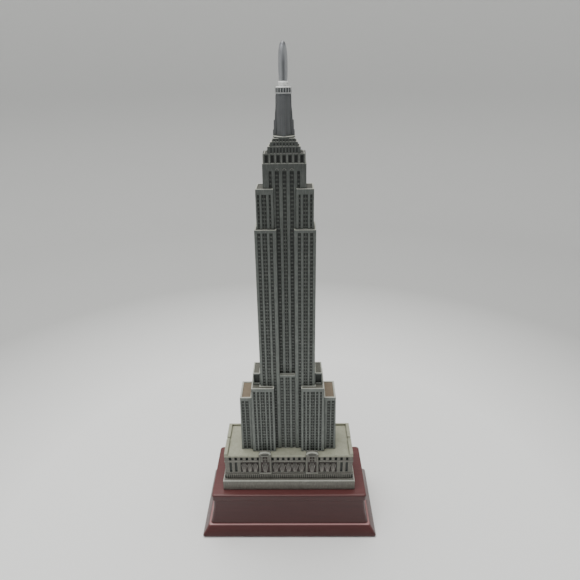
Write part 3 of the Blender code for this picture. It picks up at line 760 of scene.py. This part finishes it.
# The relief's high spots are dry-brushed, and its ground holds a reddish-brown wash.
relief_resin = painted_resin("relief_resin", "827F79", "322E2C", "B3B0A8", 0.6)
rust_resin = painted_resin("rust_wash", "372D2B", "1C1615", "4A3F3D", 0.25)
PLATE_FRONT = 0.3
ARCH_RISE = 1.35
for name in ("left", "right"):
    low, high = box_mm(f"pylon_{name}")
    centre = (low.x + high.x) / 2
    half = (high.x - low.x) / 2
    back, front = -high.y, -low.y
    face = front - PLATE_FRONT
    sizes = (half, low.z - 0.2, high.z, ARCH_RISE, back, face)
    pylon = headed_plate(f"pylon_{name}_plate", *sizes, STONE_CASTING)
    field = 2 * half - 1.7
    cuts = [(0, 0.0, field, low.z + 0.5, 43.2, face - 0.4, face + 1)]
    cuts.append((0, 0.0, 3.4, 43.7, 44.35, face - 0.5, face + 1))
    soften(carve(pylon, cuts), 0.12)
    for panel in pylon.data.polygons:
        if panel.normal.y < -0.9 and abs(-panel.center.y / MM - face + 0.4) < 0.05:
            panel.material_index = WALL
    panes = wall_boxes("panes", [(0, 0.0, 2.3, 39.6, 42.7, face - 0.5, face - 0.36)], [rust_resin])
    crossing = [((0.0, 39.6), (0.0, 42.7), 0.4)]
    crossing += [((-1.15, 41.2), (-0.15, 41.2), 0.4), ((0.15, 41.2), (1.15, 41.2), 0.4)]
    crossing = raised_bars("crossing", crossing, face - 0.45, face - 0.1, stone_resin)
    arch = []
    for step in range(10):
        ends = []
        for angle in (math.pi * step / 10, math.pi * (step + 1) / 10):
            height = high.z - 0.35 - ARCH_RISE * (1 - math.sin(angle))
            ends.append(((half - 0.35) * math.cos(angle), height))
        arch.append((*ends, 0.7))
    hood = raised_bars("hood", arch, face - 0.2, front, edge_resin)
    sill = [(0, 0.0, 2 * half, low.z - 0.1, low.z + 0.5, back, front + 0.05)]
    sill = soften(wall_boxes("sill", sill, STONE_CASTING), 0.14)
    ground = [(0, 0.0, field, low.z + 0.5, 39.3, face - 0.6, face - 0.32)]
    ground = wall_boxes("ground", ground, [rust_resin])
    motif = raised_bars("motif", fan(0.0, low.z + 0.6, 39.2, 1.4), face - 0.5, face + 0.1, relief_resin)
    fuse(pylon, panes, crossing, hood, sill, ground, motif)
    pylon.data.transform(Matrix.Translation(Vector((centre, 0, 0)) * MM))
    show(pylon, f"pylon_{name}")


# --------------------
# Three relief panels lie in the sunk band. Each is a thin cast strip with a row of tall fans that
# stand almost tip to tip.
FAN_PITCH = 3.0
for name in ("left", "centre", "right"):
    low, high = box_mm(f"frieze_{name}")
    back, front = -high.y, -low.y
    centre = (low.x + high.x) / 2
    length = high.x - low.x
    bottom = level(rectangle(length / 2, 0.2), low.z)
    top = level(rectangle(length / 2, 0.2), high.z)
    panel = stand_mesh(f"frieze_{name}_panel", [bottom, top], [rust_resin])
    panel.data.transform(Matrix.Translation(Vector((0.0, -back + 0.15, 0.0)) * MM))
    count = round(length / FAN_PITCH)
    pitch = length / count
    bars = []
    for i in range(count):
        bars += fan((i - (count - 1) / 2) * pitch, low.z + 0.1, high.z - 0.1, pitch / 2 - 0.18)
    fuse(panel, raised_bars("motifs", bars, back, front + 0.1, relief_resin))
    panel.data.transform(Matrix.Translation(Vector((centre, 0.0, 0.0)) * MM))
    show(panel, f"frieze_{name}")


# --------------------
# The shoulders wrap the foot of the tower, one from each side. Each is a tall casting with five
# window columns on its front and back, a rimmed roof, and a small upper step against the shaft.
def inward(outline, distance):
    """A rectilinear outline, anticlockwise, moved in by a distance."""
    moved = []
    for i, (x, y) in enumerate(outline):
        before = Vector(outline[i]) - Vector(outline[i - 1])
        after = Vector(outline[(i + 1) % len(outline)]) - Vector(outline[i])
        push = Vector((-before.y, before.x)).normalized() + Vector((-after.y, after.x)).normalized()
        moved.append((x + push.x * distance, y + push.y * distance))
    return moved


def on_side(outline, side):
    """An outline given for the right side, or its mirror image for the left, anticlockwise."""
    return outline if side > 0 else [(-x, y) for x, y in reversed(outline)]


RIM_WIDTH = 0.6
RIM_DEPTH = 0.3


def block(name, foot_outline, head_outline, low, high, roof, rim=RIM_WIDTH):
    """A tapered casting whose roof lies inside a thin raised rim."""
    inner = inward(head_outline, rim)
    rings = [level(foot_outline, low), level(head_outline, high), level(inner, high)]
    rings.append(level(inner, high - RIM_DEPTH))
    made = stand_mesh(name, rings, CASTING + [roof, spandrel_resin])
    sides = len(foot_outline)
    faces = made.data.polygons
    # The rim's top faces up and takes the pale edge paint: a painted highlight as well as dry-brush.
    for i in range(sides):
        faces[sides + i].material_index = EDGE
    faces[-1].material_index = ROOF
    return made


FLOOR_PITCH = 1.69
COLUMN_DEPTH = 0.5
SPANDREL_HEIGHT = 0.72


def spandrel_rows(columns, low, high):
    """The sunk panels between the floors of each column, and the mullions of the wide ones."""
    floors = int((high - low - 0.5) / FLOOR_PITCH)
    first = high - 0.35 - FLOOR_PITCH * floors + 0.5 * SPANDREL_HEIGHT
    starts = [(a, along, w + 0.02, out - COLUMN_DEPTH + 0.02, first) for a, along, w, out in columns]
    rows = block_rows(
        "spandrels", starts, floors, (0, 0, FLOOR_PITCH), 0.14, SPANDREL_HEIGHT, 0.1, spandrel_resin
    )
    bars = []
    for a, along, w, out in columns:
        if w > 1.6:
            bars.append((a, along, 0.24, low, high, out - COLUMN_DEPTH - 0.05, out - 0.24))
    return [rows] + ([wall_boxes("mullions", bars, [spandrel_resin])] if bars else [])


def column_cuts(columns, low, high):
    return [(a, along, w, low, high, out - COLUMN_DEPTH, out + 0.4) for a, along, w, out in columns]


def glaze(piece, columns, low, high, plain=None):
    """Cuts window columns into a casting's walls and fills them with a spandrel at each floor.

    columns holds (angle, along, width, out), and one wider than 1.6 mm gets a thin mullion."""
    carve(piece, column_cuts(columns, low, high))
    soften(piece, plain=plain)
    return fuse(piece, *spandrel_rows(columns, low, high))


# Olive-grey roof paint on the shoulders, browner than the sand of the podium.
olive_roof = painted_resin("olive_roof_wash", "616159", "34352F", "8C8C81", 0.4)

shaft_high = box_mm("shaft")[1]
SHAFT_X, SHAFT_Y = shaft_high.x, shaft_high.y
SHOULDER_COLUMNS = ((7.9, 0.9), (9.65, 1.0), (11.87, 1.85), (13.95, 1.0), (15.75, 0.9))
SHOULDER_ROOF = 81.0
STEP_X, STEP_Y = 16.35, 4.95
for side, name in ((-1, "left"), (1, "right")):
    low, high = box_mm(f"shoulder_{name}")
    inner = 6.4
    outlines = []
    for outer in (17.75, 17.15):
        points = [(inner, -high.y), (outer, -high.y), (outer, high.y), (inner, high.y)]
        points += [(inner, SHAFT_Y + 0.02), (SHAFT_X + 0.02, SHAFT_Y + 0.02)]
        points += [(SHAFT_X + 0.02, -SHAFT_Y - 0.02), (inner, -SHAFT_Y - 0.02)]
        outlines.append(on_side(points, side))
    shoulder = block(f"shoulder_{name}_casting", *outlines, PODIUM_ROOF, SHOULDER_ROOF, olive_roof)
    columns = []
    for x, width in SHOULDER_COLUMNS:
        columns += [(0, side * x, width, high.y), (180, -side * x, width, high.y)]
    glaze(shoulder, columns, PODIUM_ROOF + 0.4, SHOULDER_ROOF - 1.9)
    near = SHAFT_X + 0.02
    step_outline = [(near, -STEP_Y), (STEP_X, -STEP_Y), (STEP_X, STEP_Y), (near, STEP_Y)]
    step_outline = on_side(step_outline, side)
    upper_step = block("step", step_outline, step_outline, SHOULDER_ROOF - 0.6, high.z, olive_roof)
    window = side * (near + STEP_X) / 2
    side_angle = 90 if side > 0 else 270
    openings = [(0, window, 2.5, 81.6, 86.2, STEP_Y - 0.9, STEP_Y + 1)]
    openings += [(180, -window, 2.5, 81.6, 86.2, STEP_Y - 0.9, STEP_Y + 1)]
    openings += [(side_angle, y, 1.5, 82.0, 85.9, STEP_X - 0.6, STEP_X + 1) for y in (-2.8, 0.0, 2.8)]
    soften(carve(upper_step, openings))
    flank = [(side_angle, y, 1.0, 75.3, 79.3, 16.7, 17.3) for y in (-6.9, -3.45, 0.0, 3.45, 6.9)]
    fuse(shoulder, upper_step, soften(wall_boxes("flank", flank, CASTING), 0.08))
    show(shoulder, f"shoulder_{name}")

# --------------------
# The outer blocks are the lowest setbacks, one on each flank. They are cast like the shoulders,
# with two window columns in front, four on the flank, and a tan-painted roof inside a pale rim.
tan_roof = painted_resin("tan_roof_wash", "756755", "3D352B", "90846F", 0.35)
OUTER_COLUMNS = ((19.65, 1.5), (21.65, 1.3))
for side, name in ((-1, "left"), (1, "right")):
    low, high = box_mm(f"outer_block_{name}")
    outlines = []
    for inner, outer in ((17.7, 23.5), (17.1, 22.95)):
        points = [(inner, -high.y), (outer, -high.y), (outer, high.y), (inner, high.y)]
        outlines.append(on_side(points, side))
    outer_block = block(f"outer_block_{name}_casting", *outlines, PODIUM_ROOF, high.z, tan_roof, 0.85)
    columns = []
    for x, width in OUTER_COLUMNS:
        columns += [(0, side * x, width, high.y), (180, -side * x, width, high.y)]
    for y in (-4.4, -1.5, 1.5, 4.4):
        columns.append((90 if side > 0 else 270, y, 1.4, 23.1))
    glaze(outer_block, columns, PODIUM_ROOF + 0.4, high.z - 1.9)
    show(outer_block, f"outer_block_{name}")

# --------------------
# Two infill strips close the foot of the tower's centre recess, front and back, with the same
# three window columns as the recess above them.
RECESS_HALF = 3.7
CORE_Y = 4.3
for angle, name in ((0, "front"), (180, "rear")):
    low, high = box_mm(f"infill_{name}")
    reach = SHAFT_Y - 0.1
    half = RECESS_HALF - 0.02
    outline = [(-half, -reach), (half, -reach), (half, -CORE_Y - 0.02), (-half, -CORE_Y - 0.02)]
    infill = block(f"infill_{name}_casting", outline, outline, PODIUM_ROOF, high.z, olive_roof)
    columns = [(0, 0.0, 1.9, reach), (0, -2.7, 1.5, reach), (0, 2.7, 1.5, reach)]
    glaze(infill, columns, PODIUM_ROOF + 0.4, high.z - 1.3)
    infill.data.transform(Matrix.Rotation(math.radians(angle), 4, "Z"))
    show(infill, f"infill_{name}")


# --------------------
# The shaft is the tallest casting: two wings with three window columns each, either side of a
# deep centre recess with three more, repeated on the back, and narrow flanks with three columns.
def recessed_outline(half_x, half_y, recess, floor):
    """A rectangle with a deep centre recess in its front and in its back, anticlockwise."""
    front = [(-half_x, -half_y), (-recess, -half_y), (-recess, -floor), (recess, -floor)]
    front += [(recess, -half_y), (half_x, -half_y)]
    return front + [(-x, -y) for x, y in front]


def both_ways(pairs, out):
    """Columns given for the right half of the front, mirrored to the left half and to the back."""
    columns = []
    for along, width in pairs:
        for place in {along, -along}:
            columns += [(0, place, width, out), (180, place, width, out)]
    return sorted(columns)


def in_recess(middle):
    """True at the top and foot of the recess's floor, where the castings continue the same wall."""
    return abs(middle.y) < CORE_Y + 0.1 and abs(middle.x) < UPPER_RECESS + 0.1


UPPER_RECESS = 4.6
INFILL_TOP = 86.8
CROWN_COLUMN_TOP = 181.0
shaft_outline = recessed_outline(SHAFT_X, SHAFT_Y, RECESS_HALF, CORE_Y)
shaft = block("shaft_casting", shaft_outline, shaft_outline, PODIUM_ROOF, shaft_high.z, olive_roof)
wing_columns = both_ways(((5.85, 1.3), (8.48, 1.85), (10.95, 1.3)), SHAFT_Y)
recess_columns = both_ways(((0.0, 1.7), (2.75, 1.5)), CORE_Y)
flank_columns = [(a, y, w, SHAFT_X) for a in (90, 270) for y, w in ((-4.0, 1.2), (0.0, 1.9), (4.0, 1.2))]
carve(shaft, column_cuts(recess_columns, PODIUM_ROOF + 0.4, shaft_high.z + 1.0))
glaze(shaft, wing_columns + flank_columns, PODIUM_ROOF + 0.4, shaft_high.z - 1.4, in_recess)
fuse(shaft, *spandrel_rows(recess_columns, INFILL_TOP - 1.0, CROWN_COLUMN_TOP - 13 * FLOOR_PITCH))
show(shaft, "shaft")

# --------------------
# The upper shaft repeats the shaft at a smaller width, with its recess wider and shallower. It is
# a separate casting, pinned and glued on the shaft's top.
upper_high = box_mm("upper_shaft")[1]
upper_outline = recessed_outline(upper_high.x, upper_high.y, UPPER_RECESS, CORE_Y)
upper = block("upper_shaft_casting", upper_outline, upper_outline, shaft_high.z, upper_high.z, olive_roof)
columns = both_ways(((6.0, 0.75), (8.4, 1.9), (10.7, 0.85)), upper_high.y)
columns += [(a, y, w, upper_high.x) for a in (90, 270) for y, w in ((-3.3, 1.1), (0.0, 1.8), (3.3, 1.1))]
upper_recess = both_ways(((0.0, 1.55), (2.95, 1.55)), CORE_Y)
carve(upper, column_cuts(upper_recess, shaft_high.z - 1.0, upper_high.z + 1.0))
glaze(upper, columns, shaft_high.z + 0.2, upper_high.z - 2.3, in_recess)
fuse(upper, *spandrel_rows(upper_recess, shaft_high.z + 0.4, CROWN_COLUMN_TOP - 4 * FLOOR_PITCH))
show(upper, "upper_shaft")

# --------------------
# The crown block carries the recess's columns up between the wings and ends them under three
# small pale hoods, with one more column on either side.
crown_high = box_mm("crown_block")[1]
crown_outline = rectangle(crown_high.x, crown_high.y)
crown = block("crown_casting", crown_outline, crown_outline, upper_high.z, crown_high.z, olive_roof)
HOOD_TOP = 182.35
# Small projections near the top, painted pale over a darker colour that is kept darker than the edges
# lower down.
hood_resin = painted_resin("brushed_darker_top", "6C6E69", "3C3E3A", "93958F", 0.5, darker_up_tower=False)
columns = both_ways(((0.0, 1.55), (2.95, 1.55), (5.65, 1.1)), crown_high.y)
columns += [(a, y, 1.0, crown_high.x) for a in (90, 270) for y in (-2.4, 0.0, 2.4)]
glaze(crown, columns, upper_high.z - 0.9, CROWN_COLUMN_TOP, lambda middle: middle.z < upper_high.z + 0.01)
peak = crown_high.y - 0.15
for turn in (0.0, 180.0):
    bars = []
    for along in (-2.95, 0.0, 2.95):
        top = (along, HOOD_TOP - 0.15)
        bars += [((along + side * 0.85, HOOD_TOP - 0.95), top, 0.32) for side in (-1, 1)]
    hoods = raised_bars("hoods", bars, peak, peak + 0.4, hood_resin)
    hoods.data.transform(Matrix.Rotation(math.radians(turn), 4, "Z"))
    fuse(crown, hoods)
show(crown, "crown_block")

# --------------------
# The crown tiers are four small setbacks in one casting: an arcade of seven openings with a
# scalloped parapet, three plainer steps with slit windows, and the round rim under the mast.
tier_high = box_mm("crown_tiers")[1]
TIERS = ((8.3, 4.15, 187.75), (6.5, 4.05, 190.45), (5.4, 3.95, 192.2), (4.4, 3.85, 193.55))
ARCADE_PITCH = 2.33
SLIT_PITCH = 1.25
tier_parts = []
foot = crown_high.z - 0.35
for number, (half_x, half_y, top) in enumerate(TIERS):
    tier_outline = rectangle(half_x, half_y)
    tier = block(f"tier_{number}", tier_outline, tier_outline, foot, top, olive_roof)
    windows = []
    if number == 0:
        pitch, margin, width, sill, head, deep = ARCADE_PITCH, 0.0, 1.1, foot + 0.55, 187.1, 0.6
    else:
        pitch, margin, width, sill, head, deep = SLIT_PITCH, 0.5, 0.6, foot + 0.6, top - 0.5, 0.14
    for angle, reach, half in four_walls(half_x, half_y):
        count = int((half - margin) / pitch)
        for i in range(-count, count + 1):
            windows.append((angle, i * pitch, width, sill, head, reach - deep, reach + 1))
    tier_parts.append(soften(carve(tier, windows), 0.08))
    foot = top - 0.35
fins, peaks = [], []
half_x, half_y, top = TIERS[0]
for angle, reach, half in four_walls(half_x, half_y):
    count = int(half / ARCADE_PITCH)
    for i in range(-count - 1, count + 1):
        fins.append((angle, (i + 0.5) * ARCADE_PITCH, 0.45, 184.1, 187.75, reach - 0.2, reach + 0.16))
    for i in range(-count, count + 1):
        for offset, rise in ((-0.55, 0.05), (0.0, 0.3), (0.55, 0.05)):
            along = i * ARCADE_PITCH + offset
            peaks.append((angle, along, 0.5, top - 0.25, top + rise, reach - 0.3, reach + 0.08))
tier_parts.append(wall_boxes("fins", fins, [hood_resin]))
tier_parts.append(wall_boxes("peaks", peaks, [hood_resin]))
rim_rings = [circle(4.35, 193.2), circle(4.35, tier_high.z - 0.22), circle(4.2, tier_high.z)]
rim = stand_mesh("rim", rim_rings, [wall_resin, edge_resin])
# The rim's top face takes the pale edge paint, a painted highlight as well as dry-brush.
for face in rim.data.polygons:
    face.material_index = 1 if face.center.z / MM > tier_high.z - 0.2 else 0
tiers = fuse(tier_parts[0], *tier_parts[1:], rim)
tiers.name = "crown_tiers_casting"
show(tiers, "crown_tiers")

# --------------------
# The mast is a fluted round stem with a wing on each of four sides, the left and right ones
# stepped. It is cast on its own and sprayed a gunmetal colour that is left unwashed.

# Sprayed gunmetal paint: a dark, slightly blue metallic grey with a satin surface.
gunmetal, tree, shader, place = start_material("gunmetal_spray", 0.38, 0.35)
coat = clouded(tree, place, 350.0, 3.0, "5B5D5F", "696B6D")
feed(shader, {"Base Color": coat})
flake = add(tree, "ShaderNodeTexNoise", {"Vector": place, "Scale": 2600.0, "Detail": 2.0})
grit = add(tree, "ShaderNodeBump", {"Height": flake, "Strength": 0.15, "Distance": 0.00008})
feed(shader, {"Normal": grit})

WING_HALF = 0.8


def winged_ring(core, reaches, height):
    """A fluted round core with four flat-ended wings; reaches holds the side ones', then the others'."""
    root = math.asin(WING_HALF / core)
    ring = []
    for quarter in range(4):
        reach = reaches[quarter % 2]
        ring_quarter = [(reach, -WING_HALF), (reach, WING_HALF)]
        for step in range(13):
            angle = root + step / 12 * (math.pi / 2 - 2 * root)
            flute = core - 0.07 * (1 - math.cos(step / 12 * 6 * math.pi)) / 2
            ring_quarter.append((flute * math.cos(angle), flute * math.sin(angle)))
        turn = Matrix.Rotation(quarter * math.pi / 2, 2)
        ring += [(*(turn @ Vector(p)), height) for p in ring_quarter]
    return ring


MAST_LEVELS = (
    (194.2, 4.25), (196.35, 4.23), (196.5, 3.95), (197.5, 3.93), (199.9, 3.87), (200.05, 3.47),
    (201.5, 3.4), (202.6, 3.34), (203.5, 3.22), (204.4, 3.12), (205.4, 3.07), (209.0, 3.02),
)
mast_rings = []
for height, reach in MAST_LEVELS:
    rise = (height - MAST_LEVELS[0][0]) / (MAST_LEVELS[-1][0] - MAST_LEVELS[0][0])
    plain_reach = max(3.0, 4.2 - 0.105 * (height - MAST_LEVELS[0][0]))
    mast_rings.append(winged_ring(3.1 - 0.25 * rise, (reach, plain_reach), height))
mast = stand_mesh("mast_casting", mast_rings, [gunmetal] * 3)
soften(mast, 0.12)
show(mast, "mast")


# --------------------
# The lantern ring and the dome are brightly painted turned pieces, threaded on the spire's stem.
# The ring has a row of dark windows between two pale bands.
def turned(name, profile, materials, sides=48):
    made = stand_mesh(name, [circle(radius, height, sides) for height, radius in profile], materials)
    made.data.shade_smooth()
    made.data.set_sharp_from_angle(angle=math.radians(40))
    return made


# Silver-white paint: pale and almost matt, and darker in its hollows and tight corners.
silver, tree, shader, place = start_material("silver_white_paint", 0.36, 0.15)
hollow = add(tree, "ShaderNodeAmbientOcclusion", {"Distance": 0.6 * MM}, samples=8)
patch = add(tree, "ShaderNodeTexNoise", {"Vector": place, "Scale": 900.0, "Detail": 3.0})
hollow_darkened = add(
    tree, "ShaderNodeMath", {0: hollow.outputs["AO"], 1: patch, 2: 0.45}, operation="MULTIPLY_ADD"
)
paint = add(
    tree,
    "ShaderNodeMix",
    {"Factor": hollow_darkened, "A": linear("6E7072"), "B": linear("F4F5F3")},
    data_type="RGBA",
)
feed(shader, {"Base Color": paint})
window_dark = painted_resin("lantern_window", "55585A", "2A2C2E", "707375", 0.2, darker_up_tower=False)
post_paint = painted_resin("lantern_post", "AEB0B0", "5A5D5F", "CED0D0", 0.4, darker_up_tower=False)

ring_profile = [(208.9, 2.88), (209.3, 2.95), (209.45, 3.1), (209.9, 3.1), (210.0, 2.8)]
ring_profile += [(211.4, 2.8), (211.5, 2.95), (211.8, 2.95), (211.95, 2.6), (212.0, 1.7), (212.4, 1.6)]
ring = turned("lantern_ring_turning", ring_profile, [silver, window_dark, post_paint])
for face in ring.data.polygons:
    height = face.center.z / MM
    if height < 209.4 or 209.95 < height < 211.45:
        face.material_index = 1
    elif height < 209.95:
        face.material_index = 2
posts = [(angle, 0.0, 0.28, 209.85, 211.5, 2.5, 3.1) for angle in range(0, 360, 20)]
fuse(ring, wall_boxes("posts", posts, [post_paint]))
show(ring, "lantern_ring")

dome_high = box_mm("dome")[1]
dome_profile = [(212.2, 1.5), (212.4, 1.7), (212.7, 1.88), (213.05, 1.94), (213.4, 1.88), (213.7, 1.7)]
dome_profile += [(dome_high.z - 0.05, 1.45), (dome_high.z + 0.15, 1.1), (dome_high.z + 0.2, 0.5)]
dome = turned("dome_turning", dome_profile, [silver])
show(dome, "dome")

# --------------------
# The spire is a turned metal bullet that stands on the dome. Its stem, which is out of sight, goes
# down through the dome and the ring into the mast.

# Plated metal with a satin polish, slightly hazy.
polished, tree, shader, place = start_material("polished_plating", 0.4, 1.0)
plate = clouded(tree, place, 500.0, 3.0, "ACAEB2", "C0C2C6")
# A band about 2 mm wide down the front and the back is painted darker: a painted reflection, the dark
# reflection of a polished rod, which stays in the colour whatever the light does.
across = add(tree, "ShaderNodeSeparateXYZ", {"Vector": place})
off_band_middle = add(tree, "ShaderNodeMath", {0: across.outputs["X"], 1: 0.15 * MM}, operation="SUBTRACT")
distance = add(tree, "ShaderNodeMath", {0: off_band_middle}, operation="ABSOLUTE")
reflection_band = add(tree, "ShaderNodeMapRange", {"Value": distance, "From Min": 1.0 * MM, "From Max": 0.1 * MM})
tip = add(
    tree,
    "ShaderNodeMapRange",
    {"Value": across.outputs["Z"], "From Min": 226.0 * MM, "From Max": 220.0 * MM},
)
reflection_band_mask = add(tree, "ShaderNodeMath", {0: reflection_band, 1: tip}, operation="MULTIPLY")
with_painted_reflection = add(
    tree, "ShaderNodeMix", {"Factor": reflection_band_mask, "A": plate, "B": linear("76787C")}, data_type="RGBA"
)
# The very point is painted darker too: painted shade that keeps it from reading as a bright glint.
point = add(
    tree,
    "ShaderNodeMapRange",
    {"Value": across.outputs["Z"], "From Min": 225.6 * MM, "From Max": 227.0 * MM},
)
tip_shaded = add(
    tree, "ShaderNodeMix", {"Factor": point, "A": with_painted_reflection, "B": linear("707276")}, data_type="RGBA"
)
feed(shader, {"Base Color": tip_shaded})

spire_high = box_mm("spire")[1]
SPIRE_FOOT = 213.9
OGIVE_FOOT = 218.5
spire_profile = [(SPIRE_FOOT, 1.58), (215.0, 1.66), (216.5, 1.72), (OGIVE_FOOT, 1.74)]
for step in range(1, 25):
    rise = math.sin(step / 24 * math.pi / 2)
    radius = 1.74 * max(0.0, 1 - rise**3) ** 0.42
    spire_profile.append((OGIVE_FOOT + (spire_high.z - OGIVE_FOOT) * rise, max(0.03, radius)))
spire = turned("spire_turning", spire_profile, [polished], 64)
show(spire, "spire")

sizes = {"cad": [list(v) for v in cad_box], "visual": [list(v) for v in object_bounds()]}
